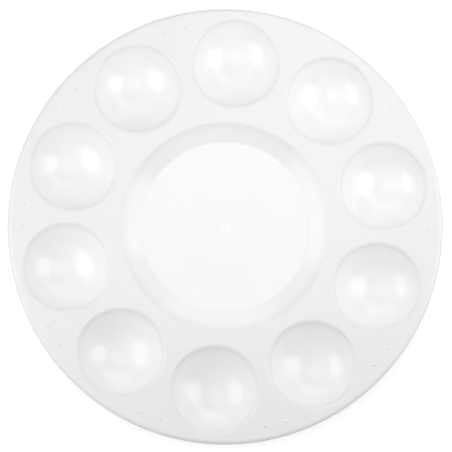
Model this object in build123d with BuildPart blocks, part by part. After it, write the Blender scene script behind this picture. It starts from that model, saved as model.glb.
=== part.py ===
from build123d import *
import math
import os

# Round ten-well mixing palette: one thin white plastic moulding.
# The moulding is held as zones that meet face to face, with no overlap and no gap:
#   deck            the flat web between the hollows, with its turned-down rim and its pips
#   centre_pan      the wide flat-floored mixing pan in the middle
#   well_01 .. 10   the round-bottomed paint wells, anticlockwise from the one on +X
# Neighbouring zones part on an upright cylinder where the sheet is flat, so their upper and
# lower faces run on without a step.
# Each zone is drawn as the line of its upper face, and the sheet hangs below that line.
# +Z is up. The origin is on the palette's axis, at the level that the wells stand on.

# --- driving dimensions, mm ---------------------------------------------------------------
palette_diameter = 170.0
sheet = 1.2                    # wall thickness of the moulding, everywhere

rim_round = 1.8                # outer radius of the bend into the rim
rim_height = 3.0               # deck face down to the rim's edge
rim_edge_round = 0.4           # rounding of the rim's edge

well_count = 10
well_circle_radius = 63.8      # palette axis to a well's axis
well_mouth_radius = 18.2       # where the mouth's rounding meets the flat deck
well_mouth_round = 2.0
well_depth = 10.3              # deck face down to the bottom of the bowl
well_foot_radius = 2.5         # small flat under the bowl, on which the palette stands
well_zone_radius = 18.9        # where a well's zone ends and the deck's begins

pan_floor_radius = 33.2        # floor plane meets wall cone, before rounding
pan_mouth_radius = 41.0        # wall cone meets deck plane, before rounding
pan_depth = 4.5
pan_floor_round = 1.5
pan_mouth_round = 2.5
pan_zone_radius = 42.8         # where the pan's zone ends and the deck's begins

pip_circle_radius = 79.2       # the pips stand in pairs, midway between two wells
pip_spacing = 8.35             # straight from one pip of a pair to the other
pip_radius = 0.55
pip_height = 0.4

gate_radius = 0.9              # moulding's gate mark in the middle of the pan
gate_height = 0.25

# --- derived ------------------------------------------------------------------------------
palette_radius = palette_diameter / 2
well_step = 360 / well_count
pip_half_angle = math.degrees(math.asin(pip_spacing / 2 / pip_circle_radius))

# A bowl is a ball surface of this radius, tangent to the rounding of its mouth.
bowl_edge_slope = 2 * math.atan(well_depth / well_mouth_radius)
bowl_edge_angle = math.degrees(bowl_edge_slope)
bowl_radius = well_mouth_radius / math.sin(bowl_edge_slope) - well_mouth_round
bowl_under_radius = bowl_radius + sheet
foot_rise = bowl_under_radius - math.sqrt(bowl_under_radius**2 - well_foot_radius**2)
deck_top = well_depth + sheet - foot_rise

top_plane = Plane.XY.offset(deck_top)


def section_plane(axis_x, axis_y):
    """Upright plane through an axis, with its own zero at the deck's face."""
    return Plane(origin=(axis_x, axis_y, deck_top), x_dir=(1, 0, 0), z_dir=(0, -1, 0))


def low_dome(base_radius, height):
    """Low dome, the cap of a ball, standing on the level z = 0."""
    ball_radius = (base_radius**2 + height**2) / (2 * height)
    base_latitude = math.degrees(math.asin(1 - height / ball_radius))
    return Sphere(ball_radius, base_latitude, 90, align=(Align.CENTER, Align.CENTER, Align.MIN))


def finish(part, label):
    """Name a zone and write it out."""
    part.label = label
    export_step(part, f"parts/{label}.step")


pip = low_dome(pip_radius, pip_height)
gate_mark = low_dome(gate_radius, gate_height)
os.makedirs("parts", exist_ok=True)

# --- deck, rim and pips -------------------------------------------------------------------
with BuildPart() as deck:
    with BuildSketch(section_plane(0, 0)):
        with BuildLine():
            FilletPolyline(
                (pan_zone_radius, 0),
                (palette_radius, 0),
                (palette_radius, -rim_height),
                radius=rim_round,
            )
            offset(amount=sheet, side=Side.RIGHT)
        make_face()
        rim_edge = vertices().group_by(Axis.Y)[0]
        fillet(rim_edge, rim_edge_round)
    revolve(axis=Axis.Z)
    with BuildSketch(top_plane):
        with PolarLocations(well_circle_radius, well_count):
            Circle(well_zone_radius)
    extrude(amount=-2 * sheet, mode=Mode.SUBTRACT)
    with Locations((0, 0, deck_top)):
        for side in (-1, 1):
            first_angle = well_step / 2 + side * pip_half_angle
            with PolarLocations(pip_circle_radius, well_count, start_angle=first_angle):
                add(pip)
finish(deck.part, "deck")

# --- centre pan ---------------------------------------------------------------------------
with BuildPart() as centre_pan:
    with BuildSketch(section_plane(0, 0)):
        with BuildLine():
            FilletPolyline(
                (0, -pan_depth),
                (pan_floor_radius, -pan_depth),
                (pan_mouth_radius, 0),
                (pan_zone_radius, 0),
                radius=[pan_floor_round, pan_mouth_round],
            )
            offset(amount=sheet, side=Side.RIGHT)
        make_face()
    revolve(axis=Axis.Z)
    with Locations((0, 0, deck_top - pan_depth)):
        add(gate_mark)
finish(centre_pan.part, "centre_pan")

# --- ten paint wells ----------------------------------------------------------------------
for index in range(well_count):
    angle = math.radians(index * well_step)
    axis_x = well_circle_radius * math.cos(angle)
    axis_y = well_circle_radius * math.sin(angle)
    with BuildPart() as well:
        with BuildSketch(section_plane(axis_x, axis_y)):
            with BuildLine():
                CenterArc((0, bowl_radius - well_depth), bowl_radius, -90, bowl_edge_angle)
                mouth = CenterArc(
                    (well_mouth_radius, -well_mouth_round),
                    well_mouth_round,
                    90 + bowl_edge_angle,
                    -bowl_edge_angle,
                )
                Line(mouth @ 1, (well_zone_radius, 0))
                offset(amount=sheet, side=Side.RIGHT)
            make_face()
        revolve(axis=Axis((axis_x, axis_y, 0), (0, 0, 1)))
        split(bisect_by=Plane.XY, keep=Keep.TOP)
    finish(well.part, f"well_{index + 1:02d}")
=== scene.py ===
import math

import bpy
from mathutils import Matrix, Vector
from mathutils.geometry import delaunay_2d_cdt


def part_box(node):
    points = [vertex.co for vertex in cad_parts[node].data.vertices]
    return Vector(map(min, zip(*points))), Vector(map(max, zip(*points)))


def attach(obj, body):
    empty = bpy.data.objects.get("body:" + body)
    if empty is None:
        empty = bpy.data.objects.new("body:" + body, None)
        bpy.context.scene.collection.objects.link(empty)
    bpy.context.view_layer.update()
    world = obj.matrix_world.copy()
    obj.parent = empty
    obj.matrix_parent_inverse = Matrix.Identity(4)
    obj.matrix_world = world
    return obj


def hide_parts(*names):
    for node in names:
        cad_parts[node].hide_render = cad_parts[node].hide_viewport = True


# The looks of a round ten-well mixing palette: one glossy white moulding, seen from straight above.
# The CAD model holds the moulding as zones that meet face to face. Here one closed, seamless skin
# stands for all of them. Lengths are in metres and angles in degrees, unless a name says otherwise.

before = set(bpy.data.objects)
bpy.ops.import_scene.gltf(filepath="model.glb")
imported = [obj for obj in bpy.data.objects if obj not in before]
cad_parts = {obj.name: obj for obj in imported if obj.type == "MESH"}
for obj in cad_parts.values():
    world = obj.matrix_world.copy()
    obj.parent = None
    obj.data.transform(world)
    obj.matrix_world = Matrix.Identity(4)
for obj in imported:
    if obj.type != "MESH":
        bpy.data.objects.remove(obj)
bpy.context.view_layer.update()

MM = 0.001

# --- sizes that the CAD's boxes don't tell ---------------------------------------------------
SHEET = 1.2 * MM

RIM_ROUND = 1.8 * MM
RIM_HEIGHT = 3.0 * MM
RIM_EDGE_ROUND = 0.4 * MM

WELL_MOUTH_RADIUS = 18.2 * MM      # where the rounded mouth meets the flat deck
WELL_MOUTH_ROUND = 2.0 * MM
WELL_DEPTH = 10.3 * MM
WELL_FOOT_RADIUS = 2.5 * MM

PAN_FLOOR_RADIUS = 33.2 * MM       # before the corner is rounded
PAN_MOUTH_RADIUS = 41.0 * MM       # before the edge is rounded
PAN_FLOOR_ROUND = 1.5 * MM
PAN_MOUTH_ROUND = 2.5 * MM

PIP_CIRCLE_RADIUS = 79.2 * MM
PIP_SPACING = 8.35 * MM
PIP_RADIUS = 0.9 * MM
PIP_HEIGHT = 0.4 * MM

GATE_RADIUS = 1.1 * MM
GATE_HEIGHT = 0.25 * MM

# --- how finely the skin is divided ----------------------------------------------------------
WELL_SIDES = 96
PAN_SIDES = 240
PIP_SIDES = 20
RIM_SIDES = 360
DECK_SPACING = 2.6 * MM
MERGE_DISTANCE = 1e-9

# --- how the plastic and the stage look ------------------------------------------------------
# Painted light: the deck's white is painted greyer, and the hollows' and rim edge's whiter, to stand in
# for the brighter light in the hollows.
DECK_WHITE_PAINTED_SHADE = 0.875
HOLLOW_WHITE_PAINTED_LIGHT = 0.93
BLUE_SHARE = 0.998                 # blue over red and green, a trace of warmth
BLUSH_WHITENING = 0.04
BLUSH_RADIUS = 3.2 * MM
DECK_ROUGHNESS = 0.25
HOLLOW_ROUGHNESS = 0.18
HOLLOW_STARTS = 0.2 * MM           # below the deck's face, where its looks start to change
HOLLOW_FULL = 2.2 * MM             # and where the hollows' looks are reached
RIPPLE_DEPTH = 0.004 * MM
GRAIN_DEPTH = 0.0015 * MM
HAIRLINE_DEPTH = 0.0003 * MM
HAIRLINE_ROUGHENING = 0.03
HAIRLINE_STRETCH = 0.01            # a hairline's width over its length
HAIRLINE_LEVELS = (0.66, 0.78)     # of the noise, where a hairline starts and where it is full
NOISE_LEVELS = (0.3, 0.7)          # between these lies nearly all of a noise
FLOW_DRIFT = 3.0                   # how fast the flow lines change along their length, per metre
PLASTIC_IOR = 1.55

TABLE_SIZE = 6.0
TABLE_DROP = 0.01 * MM             # keeps the table clear of the palette's feet
TABLE_COLOUR = (0.8, 0.8, 0.8, 1)
TABLE_GLOW = 0.45
BACKDROP_COLOUR = (0.86, 0.865, 0.87, 1)
NEAR_STRIP_AIM = 0.03              # above the picture's middle

# --- the camera ------------------------------------------------------------------------------
PICTURE_TURN = 14.33               # well 1 lies this far round from the picture's right-hand side
CAMERA_HEIGHT = 1.0
CAMERA_RIGHT = 0.35 * MM           # off the palette's middle, along the picture
CAMERA_UP = 0.39 * MM
FRAME_FILL = 0.9645                # the palette's width over the picture's
SENSOR_WIDTH_MM = 36
VIEW_END = 20                      # how far the camera sees

# --- places and sizes that come from the frame -----------------------------------------------
wells = sorted(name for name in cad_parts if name.startswith("well_"))
palette_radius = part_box("deck")[1].x
deck_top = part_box(wells[0])[1].z
pan_depth = deck_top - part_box("centre_pan")[0].z - SHEET


def middle(name):
    """Centre of a CAD node's box, seen from above."""
    low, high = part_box(name)
    return Vector(((low.x + high.x) / 2, (low.y + high.y) / 2))


# --- profiles --------------------------------------------------------------------------------
# A profile is a list of (radius, height above the deck's face, tilt). It runs outwards, and the
# rim's goes on round the edge and back in. Tilt is the surface normal's angle from straight up,
# towards the outside, so that every vertex gets its true normal and the rounded edges run into
# the flat deck without a crease.

def arc(radius, height, bend, start, end, steps):
    """Points on an arc about (radius, height), from tilt start to tilt end.
    A positive bend is a convex arc of that radius, and a negative one a hollow."""
    points = []
    for step in range(steps + 1):
        tilt = start + (end - start) * step / steps
        turn = math.radians(tilt)
        points.append((radius + bend * math.sin(turn), height + bend * math.cos(turn), tilt))
    return points


def mound(radius, height, base, steps):
    """A low mound with a soft foot, from its top outwards, on a flat at height base."""
    profile = []
    for step in range(steps + 1):
        share = step / steps
        rise = height * math.cos(share * math.pi / 2) ** 2
        lean = height * math.pi / (2 * radius) * math.sin(share * math.pi)
        profile.append((radius * share, rise + base, math.degrees(math.atan(lean))))
    return profile


def well_profiles():
    """The bowl's inside and its underside, from the middle to where the deck is flat."""
    slope = 2 * math.atan(WELL_DEPTH / WELL_MOUTH_RADIUS)
    bowl_radius = WELL_MOUTH_RADIUS / math.sin(slope) - WELL_MOUTH_ROUND
    centre = bowl_radius - WELL_DEPTH
    edge = math.degrees(slope)
    mouth = (WELL_MOUTH_RADIUS, -WELL_MOUTH_ROUND)
    inside = arc(0, centre, -bowl_radius, 0, -edge, steps=20)
    inside += arc(*mouth, WELL_MOUTH_ROUND, -edge, 0, steps=9)[1:]

    under_radius = bowl_radius + SHEET
    foot_angle = math.degrees(math.asin(WELL_FOOT_RADIUS / under_radius))
    underside = [(0, -deck_top, 180)]
    underside += arc(0, centre, under_radius, 180 - foot_angle, 180 - edge, steps=20)
    underside += arc(*mouth, SHEET - WELL_MOUTH_ROUND, 180 - edge, 180, steps=7)[1:]
    return inside, underside


def pan_profiles():
    """The pan's inside, with its gate mark, and its underside, from the middle to the flat deck."""
    slope = math.atan(pan_depth / (PAN_MOUTH_RADIUS - PAN_FLOOR_RADIUS))
    wall = math.degrees(slope)
    floor_end = PAN_FLOOR_RADIUS - PAN_FLOOR_ROUND * math.tan(slope / 2)
    mouth_end = PAN_MOUTH_RADIUS + PAN_MOUTH_ROUND * math.tan(slope / 2)
    corner = (floor_end, PAN_FLOOR_ROUND - pan_depth)
    mouth = (mouth_end, -PAN_MOUTH_ROUND)

    inside = mound(GATE_RADIUS, GATE_HEIGHT, -pan_depth, steps=8)
    flat_steps = 10
    for step in range(1, flat_steps):
        inside.append((GATE_RADIUS + (floor_end - GATE_RADIUS) * step / flat_steps, -pan_depth, 0))
    inside += arc(*corner, -PAN_FLOOR_ROUND, 0, -wall, steps=6)
    inside += arc(*mouth, PAN_MOUTH_ROUND, -wall, 0, steps=7)

    flat_steps = 8
    underside = [(floor_end * step / flat_steps, -pan_depth - SHEET, 180) for step in range(flat_steps)]
    underside += arc(*corner, PAN_FLOOR_ROUND + SHEET, 180, 180 - wall, steps=7)
    underside += arc(*mouth, SHEET - PAN_MOUTH_ROUND, 180 - wall, 180, steps=6)
    return inside, underside


def rim_profile():
    """From the deck's face over the rim, round its edge and back to the deck's underside."""
    bend = palette_radius - RIM_ROUND
    edge = RIM_EDGE_ROUND
    profile = arc(bend, -RIM_ROUND, RIM_ROUND, 0, 90, steps=12)
    profile += arc(palette_radius - edge, edge - RIM_HEIGHT, edge, 90, 180, steps=5)
    profile += arc(palette_radius - SHEET + edge, edge - RIM_HEIGHT, edge, 180, 270, steps=5)
    profile += arc(bend, -RIM_ROUND, SHEET - RIM_ROUND, 270, 180, steps=6)
    return profile


# --- the skin --------------------------------------------------------------------------------

class Skin:
    """Vertices, their true normals, and faces, all wound so that they face outwards."""

    def __init__(self):
        self.points = []
        self.normals = []
        self.faces = []

    def ring(self, centre, radius, height, tilt, sides):
        """A circle of vertices about an upright axis, or a single one where radius is 0."""
        turn = math.radians(tilt)
        first = len(self.points)
        for index in range(sides if radius > 0 else 1):
            angle = 2 * math.pi * index / sides
            out = Vector((math.cos(angle), math.sin(angle)))
            self.points.append((*(centre + out * radius), deck_top + height))
            self.normals.append((*(out * math.sin(turn)), math.cos(turn)))
        return list(range(first, len(self.points)))

    def band(self, start, end, faces_up=True):
        """Faces between two rings. Where start is a single vertex they make a fan."""
        for index in range(len(end)):
            following = (index + 1) % len(end)
            corners = [start[index % len(start)], end[index], end[following]]
            if len(start) > 1:
                corners.append(start[following])
            self.faces.append(corners if faces_up else corners[::-1])

    def turned(self, centre, profile, sides, faces_up=True):
        """A surface of revolution. Returns its first and last rings."""
        rings = [self.ring(centre, *point, sides) for point in profile]
        for start, end in zip(rings, rings[1:]):
            self.band(start, end, faces_up)
        return rings[0], rings[-1]

    def sheet(self, outline, holes, height, spacing, faces_up=True):
        """The flat deck between an outline ring and its holes, each (ring, centre, radius)."""
        borders = [outline] + [ring for ring, _, _ in holes]
        vertices = [index for ring in borders for index in ring]
        edges = []
        for ring in borders:
            offset = vertices.index(ring[0])
            for index in range(len(ring)):
                edges.append((offset + index, offset + (index + 1) % len(ring)))
        limit = palette_radius - RIM_ROUND - spacing / 2
        row_height = spacing * math.sqrt(3) / 2
        rows = int(limit / row_height)
        for row in range(-rows, rows + 1):
            for column in range(-rows - 1, rows + 2):
                spot = Vector(((column + row % 2 / 2) * spacing, row * row_height))
                near_hole = any(
                    (spot - centre).length < radius + spacing / 2 for _, centre, radius in holes
                )
                if spot.length < limit and not near_hole:
                    vertices.append(len(self.points))
                    self.points.append((*spot, deck_top + height))
                    self.normals.append((0, 0, 1 if faces_up else -1))
        flat = [Vector(self.points[index][:2]) for index in vertices]
        _, _, triangles, sources, _, _ = delaunay_2d_cdt(flat, edges, [], 0, MERGE_DISTANCE)
        for triangle in triangles:
            corners = [vertices[sources[corner][0]] for corner in triangle]
            spot = sum((Vector(self.points[index][:2]) for index in corners), Vector((0, 0))) / 3
            in_hole = any(
                (spot - centre).length < radius * math.cos(math.pi / len(ring))
                for ring, centre, radius in holes
            )
            if not in_hole:
                self.faces.append(corners if faces_up else corners[::-1])

    def mesh(self, name):
        """A smooth Blender mesh that has these vertices, faces and normals."""
        made = bpy.data.meshes.new(name)
        made.from_pydata(self.points, [], self.faces)
        made.validate()
        made.polygons.foreach_set("use_smooth", [True] * len(made.polygons))
        made.normals_split_custom_set_from_vertices(self.normals)
        return made


def pip_places():
    """The centres of the pips, a pair in each gap between two wells, near the rim."""
    half_gap = math.pi / len(wells)
    pip_turn = math.asin(PIP_SPACING / 2 / PIP_CIRCLE_RADIUS)
    places = []
    for name in wells:
        heading = math.atan2(*middle(name).yx) + half_gap
        for turn in (heading - pip_turn, heading + pip_turn):
            places.append(PIP_CIRCLE_RADIUS * Vector((math.cos(turn), math.sin(turn))))
    return places


def build_moulding():
    """The whole palette as one closed skin."""
    skin = Skin()
    axis = Vector((0, 0))
    inside, underside = well_profiles()
    top_holes, under_holes = [], []
    for name in wells:
        centre = middle(name)
        _, mouth = skin.turned(centre, inside, WELL_SIDES)
        _, under = skin.turned(centre, underside, WELL_SIDES, faces_up=False)
        top_holes.append((mouth, centre, WELL_MOUTH_RADIUS))
        under_holes.append((under, centre, WELL_MOUTH_RADIUS))

    inside, underside = pan_profiles()
    mouth_radius = inside[-1][0]
    _, mouth = skin.turned(axis, inside, PAN_SIDES)
    _, under = skin.turned(axis, underside, PAN_SIDES, faces_up=False)
    top_holes.append((mouth, axis, mouth_radius))
    under_holes.append((under, axis, mouth_radius))

    for centre in pip_places():
        _, foot = skin.turned(centre, mound(PIP_RADIUS, PIP_HEIGHT, 0, steps=6), PIP_SIDES)
        top_holes.append((foot, centre, PIP_RADIUS))

    rim_top, rim_under = skin.turned(axis, rim_profile(), RIM_SIDES)
    skin.sheet(rim_top, top_holes, 0, DECK_SPACING)
    skin.sheet(rim_under, under_holes, -SHEET, DECK_SPACING, faces_up=False)
    made = bpy.data.objects.new("palette_moulding", skin.mesh("palette_moulding"))
    bpy.context.scene.collection.objects.link(made)
    return made


# --- materials -------------------------------------------------------------------------------

def node(tree, kind, inputs=None, **settings):
    """A shader node with its settings, and its inputs set to values or linked to sockets."""
    made = tree.nodes.new(kind)
    for name, value in settings.items():
        setattr(made, name, value)
    for name, value in (inputs or {}).items():
        if isinstance(value, bpy.types.NodeSocket):
            tree.links.new(value, made.inputs[name])
        else:
            made.inputs[name].default_value = value
    return made


def varied(tree, place, size, detail, low, high):
    """Noise over a place, between two values. size is roughly the width of one blotch."""
    noise = node(tree, "ShaderNodeTexNoise", {"Vector": place, "Scale": 1 / size, "Detail": detail})
    return node(tree, "ShaderNodeMapRange", {
        "Value": noise.outputs["Fac"], "From Min": NOISE_LEVELS[0], "From Max": NOISE_LEVELS[1],
        "To Min": low, "To Max": high,
    }).outputs["Result"]


def maths(tree, operation, first, second):
    """One calculation, with each side a value or a socket."""
    made = node(tree, "ShaderNodeMath", operation=operation)
    for socket, value in zip(made.inputs, (first, second)):
        if isinstance(value, bpy.types.NodeSocket):
            tree.links.new(value, socket)
        else:
            socket.default_value = value
    return made.outputs[0]


def from_axis(tree, place):
    """A place as seen from above, which is the way out to it from the palette's axis."""
    parts = node(tree, "ShaderNodeSeparateXYZ", {"Vector": place})
    return node(tree, "ShaderNodeCombineXYZ", {
        "X": parts.outputs["X"], "Y": parts.outputs["Y"],
    }).outputs[0]


def flow_place(tree, place):
    """A place in which noise makes lines that run outwards from the gate, without a seam."""
    flat = from_axis(tree, place)
    heading = node(tree, "ShaderNodeVectorMath", {"Vector": flat}, operation="NORMALIZE")
    reach = node(tree, "ShaderNodeVectorMath", {"Vector": flat}, operation="LENGTH")
    turns = node(tree, "ShaderNodeSeparateXYZ", {"Vector": heading.outputs["Vector"]})
    return node(tree, "ShaderNodeCombineXYZ", {
        "X": turns.outputs["X"], "Y": turns.outputs["Y"],
        "Z": maths(tree, "MULTIPLY", reach.outputs["Value"], FLOW_DRIFT),
    }).outputs[0]


def gate_blush(tree, place):
    """The paler patch in the plastic round the gate, from 0 to 1."""
    flat = from_axis(tree, place)
    reach = node(tree, "ShaderNodeVectorMath", {"Vector": flat}, operation="LENGTH")
    return node(tree, "ShaderNodeMapRange", {
        "Value": reach.outputs["Value"], "From Min": BLUSH_RADIUS, "From Max": 0,
    }, interpolation_type="SMOOTHSTEP").outputs["Result"]


def hollow_share(tree, place):
    """0 on the deck's face, growing to 1 a little way below it, in the hollows and at the rim."""
    height = node(tree, "ShaderNodeSeparateXYZ", {"Vector": place}).outputs["Z"]
    return node(tree, "ShaderNodeMapRange", {
        "Value": height, "From Min": deck_top - HOLLOW_STARTS, "From Max": deck_top - HOLLOW_FULL,
    }, interpolation_type="SMOOTHSTEP").outputs["Result"]


def hairlines(tree, place, heading, width):
    """Fine scratches that run along a heading, from 0 to 1 where one lies."""
    turned = node(tree, "ShaderNodeMapping", {
        "Vector": place, "Rotation": (0, 0, math.radians(heading)),
        "Scale": (1, HAIRLINE_STRETCH, HAIRLINE_STRETCH),
    })
    grain = node(tree, "ShaderNodeTexNoise", {
        "Vector": turned.outputs[0], "Scale": 1 / width, "Detail": 2.0,
    })
    return node(tree, "ShaderNodeMapRange", {
        "Value": grain.outputs["Fac"],
        "From Min": HAIRLINE_LEVELS[0], "From Max": HAIRLINE_LEVELS[1],
    }).outputs["Result"]


def plastic_tone_and_painted_light(tree, place, hollow):
    """The plastic's white, with painted light: painted greyer on the deck and whiter in the hollows and
    at the rim, with flow lines, clouding and the gate's blush.
    """
    flow = varied(tree, flow_place(tree, place), size=0.12, detail=3.0, low=-0.003, high=0.003)
    cloud = varied(tree, place, size=22 * MM, detail=3.0, low=-0.004, high=0.004)
    # Painted light: the white rises from the deck's greyer white to the hollows' whiter one as the
    # surface drops below the deck's face.
    tone = node(tree, "ShaderNodeMapRange", {
        "Value": hollow, "To Min": DECK_WHITE_PAINTED_SHADE, "To Max": HOLLOW_WHITE_PAINTED_LIGHT,
    }).outputs["Result"]
    tone = maths(tree, "ADD", maths(tree, "ADD", tone, flow), cloud)
    blush = maths(tree, "MULTIPLY", gate_blush(tree, place), BLUSH_WHITENING)
    tone = maths(tree, "ADD", tone, blush)
    return node(tree, "ShaderNodeCombineColor", {
        "Red": tone, "Green": tone, "Blue": maths(tree, "MULTIPLY", tone, BLUE_SHARE),
    }).outputs[0]


def plastic_roughness(tree, place, hollow, lines):
    """Satin on the deck and more polished in the hollows, uneven, and rougher along hairlines."""
    roughness = node(tree, "ShaderNodeMapRange", {
        "Value": hollow, "To Min": DECK_ROUGHNESS, "To Max": HOLLOW_ROUGHNESS,
    }).outputs["Result"]
    uneven = varied(tree, place, size=6 * MM, detail=4.0, low=-0.01, high=0.01)
    roughness = maths(tree, "ADD", roughness, uneven)
    return maths(tree, "ADD", roughness, maths(tree, "MULTIPLY", lines, HAIRLINE_ROUGHENING))


def plastic_relief(tree, place, lines):
    """The surface's normal, with a soft ripple, a satin grain on it and hairlines cut into both."""
    ripple = varied(tree, place, size=3.5 * MM, detail=1.0, low=0, high=1)
    satin = varied(tree, place, size=0.35 * MM, detail=2.0, low=0, high=1)
    soft = node(tree, "ShaderNodeBump", {"Height": ripple, "Distance": RIPPLE_DEPTH})
    fine = node(tree, "ShaderNodeBump", {
        "Height": satin, "Distance": GRAIN_DEPTH, "Normal": soft.outputs[0],
    })
    return node(tree, "ShaderNodeBump", {
        "Height": lines, "Distance": HAIRLINE_DEPTH, "Normal": fine.outputs[0],
    }, invert=True).outputs[0]


def white_plastic():
    """White moulded plastic, with painted light in its white (whiter in the hollows than on the deck)
    and the faint marks that moulding and handling leave.
    """
    material = bpy.data.materials.new("white_moulded_plastic")
    material.use_nodes = True
    tree = material.node_tree
    surface = tree.nodes["Principled BSDF"]
    surface.inputs["IOR"].default_value = PLASTIC_IOR
    place = node(tree, "ShaderNodeTexCoord").outputs["Object"]
    hollow = hollow_share(tree, place)
    lines = maths(tree, "MAXIMUM", hairlines(tree, place, heading=25, width=0.08 * MM),
                  hairlines(tree, place, heading=-52, width=0.10 * MM))
    tree.links.new(plastic_tone_and_painted_light(tree, place, hollow), surface.inputs["Base Color"])
    tree.links.new(plastic_roughness(tree, place, hollow, lines), surface.inputs["Roughness"])
    tree.links.new(plastic_relief(tree, place, lines), surface.inputs["Normal"])
    return material


def white_table():
    """Plain white table. Only the camera sees its glow, which lights nothing."""
    material = bpy.data.materials.new("white_table")
    material.use_nodes = True
    tree = material.node_tree
    tree.nodes.clear()
    matt = node(tree, "ShaderNodeBsdfDiffuse", {"Color": TABLE_COLOUR})
    seen = node(tree, "ShaderNodeLightPath").outputs["Is Camera Ray"]
    glow = node(tree, "ShaderNodeEmission", {"Strength": maths(tree, "MULTIPLY", seen, TABLE_GLOW)})
    both = node(tree, "ShaderNodeAddShader")
    tree.links.new(matt.outputs[0], both.inputs[0])
    tree.links.new(glow.outputs[0], both.inputs[1])
    node(tree, "ShaderNodeOutputMaterial", {"Surface": both.outputs[0]})
    return material


# --- the palette -----------------------------------------------------------------------------
moulding = build_moulding()
moulding.data.materials.append(white_plastic())
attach(moulding, "root")
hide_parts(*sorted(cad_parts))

# --- stage, camera and lights ----------------------------------------------------------------
turn = math.radians(-PICTURE_TURN)
right = Vector((math.cos(turn), math.sin(turn), 0))
up = Vector((-math.sin(turn), math.cos(turn), 0))


def lay_table():
    """A large square table top just under the palette's feet."""
    half = TABLE_SIZE / 2
    corners = [(x * half, y * half, 0) for x, y in ((-1, -1), (1, -1), (1, 1), (-1, 1))]
    mesh = bpy.data.meshes.new("table_top")
    mesh.from_pydata(corners, [], [(0, 1, 2, 3)])
    mesh.materials.append(white_table())
    table = bpy.data.objects.new("table_top", mesh)
    table.location.z = -TABLE_DROP
    bpy.context.scene.collection.objects.link(table)


def place_camera():
    """A camera straight above the palette, turned with the picture."""
    data = bpy.data.cameras.new("camera")
    data.sensor_width = SENSOR_WIDTH_MM
    data.lens = SENSOR_WIDTH_MM / 2 / (palette_radius / FRAME_FILL / CAMERA_HEIGHT)
    data.clip_end = VIEW_END
    camera = bpy.data.objects.new("camera", data)
    offset = right * CAMERA_RIGHT + up * CAMERA_UP
    camera.location = offset + Vector((0, 0, deck_top + CAMERA_HEIGHT))
    camera.rotation_euler = (0, 0, turn)
    bpy.context.scene.collection.objects.link(camera)
    bpy.context.scene.camera = camera


def softbox(name, place, width, length, radiance, aim=0.0):
    """An oval lamp at a place in the picture's own right, up and height, facing the deck at a
    distance aim above the picture's middle. width runs up its slope and length runs level.
    radiance is how bright its face looks. The camera doesn't see it, only what it lights."""
    across, along, height = place
    lamp = bpy.data.lights.new(name, "AREA")
    lamp.shape = "ELLIPSE"
    lamp.size = length
    lamp.size_y = width
    lamp.energy = radiance * math.pi * width * length * math.pi / 4
    made = bpy.data.objects.new(name, lamp)
    bpy.context.scene.collection.objects.link(made)
    made.location = right * across + up * along + Vector((0, 0, deck_top + height))
    target = up * aim + Vector((0, 0, deck_top))
    made.rotation_euler = (target - made.location).to_track_quat("-Z", "Y").to_euler()
    made.visible_camera = False


def studio():
    """White studio: each glow is brightest along a direction and fades away from it by a power.
    The backdrop that the camera sees past the table is plain and pale."""
    world = bpy.data.worlds.new("studio")
    world.use_nodes = True
    tree = world.node_tree
    tree.nodes.clear()
    look = node(tree, "ShaderNodeTexCoord").outputs["Generated"]
    total = 0.0
    overhead = Vector((0, 0, 1))
    for direction, power, strength in (
        (overhead - right, 4, 0.90), (overhead - up, 4, 0.58), (overhead, 8, 0.37),
    ):
        facing = node(tree, "ShaderNodeVectorMath", operation="DOT_PRODUCT")
        tree.links.new(look, facing.inputs[0])
        facing.inputs[1].default_value = direction.normalized()
        glow = maths(tree, "MAXIMUM", facing.outputs["Value"], 0.0)
        glow = maths(tree, "POWER", glow, power)
        total = maths(tree, "ADD", maths(tree, "MULTIPLY", glow, strength), total)
    light = node(tree, "ShaderNodeBackground", {"Strength": total})
    backdrop = node(tree, "ShaderNodeBackground", {"Color": BACKDROP_COLOUR})
    seen = node(tree, "ShaderNodeLightPath").outputs["Is Camera Ray"]
    both = node(tree, "ShaderNodeMixShader", {"Fac": seen})
    tree.links.new(light.outputs[0], both.inputs[1])
    tree.links.new(backdrop.outputs[0], both.inputs[2])
    node(tree, "ShaderNodeOutputWorld", {"Surface": both.outputs[0]})
    return world


lay_table()
place_camera()
softbox("left_softbox", place=(-0.208, -0.040, 0.160), width=0.176, length=0.275, radiance=1.8)
softbox("right_softbox", place=(0.337, -0.043, 0.288), width=0.320, length=0.340, radiance=2.4)
softbox("overhead_softbox", place=(0, 0, 0.20), width=0.136, length=0.136, radiance=0.83)
softbox("near_back_strip", place=(0, 0.19, 0.15), width=0.113, length=0.271, radiance=1.00,
        aim=NEAR_STRIP_AIM)
softbox("near_back_right_strip", place=(0.15, 0.13, 0.15), width=0.113, length=0.226, radiance=1.05,
        aim=NEAR_STRIP_AIM)
softbox("back_strip", place=(0, 0.40, 0.15), width=0.226, length=0.565, radiance=0.84)
softbox("left_strip", place=(-0.40, 0, 0.12), width=0.226, length=0.565, radiance=0.35)
softbox("right_strip", place=(0.50, 0, 0.15), width=0.226, length=0.565, radiance=1.32)
bpy.context.scene.world = studio()
bpy.context.scene.view_settings.view_transform = "Standard"
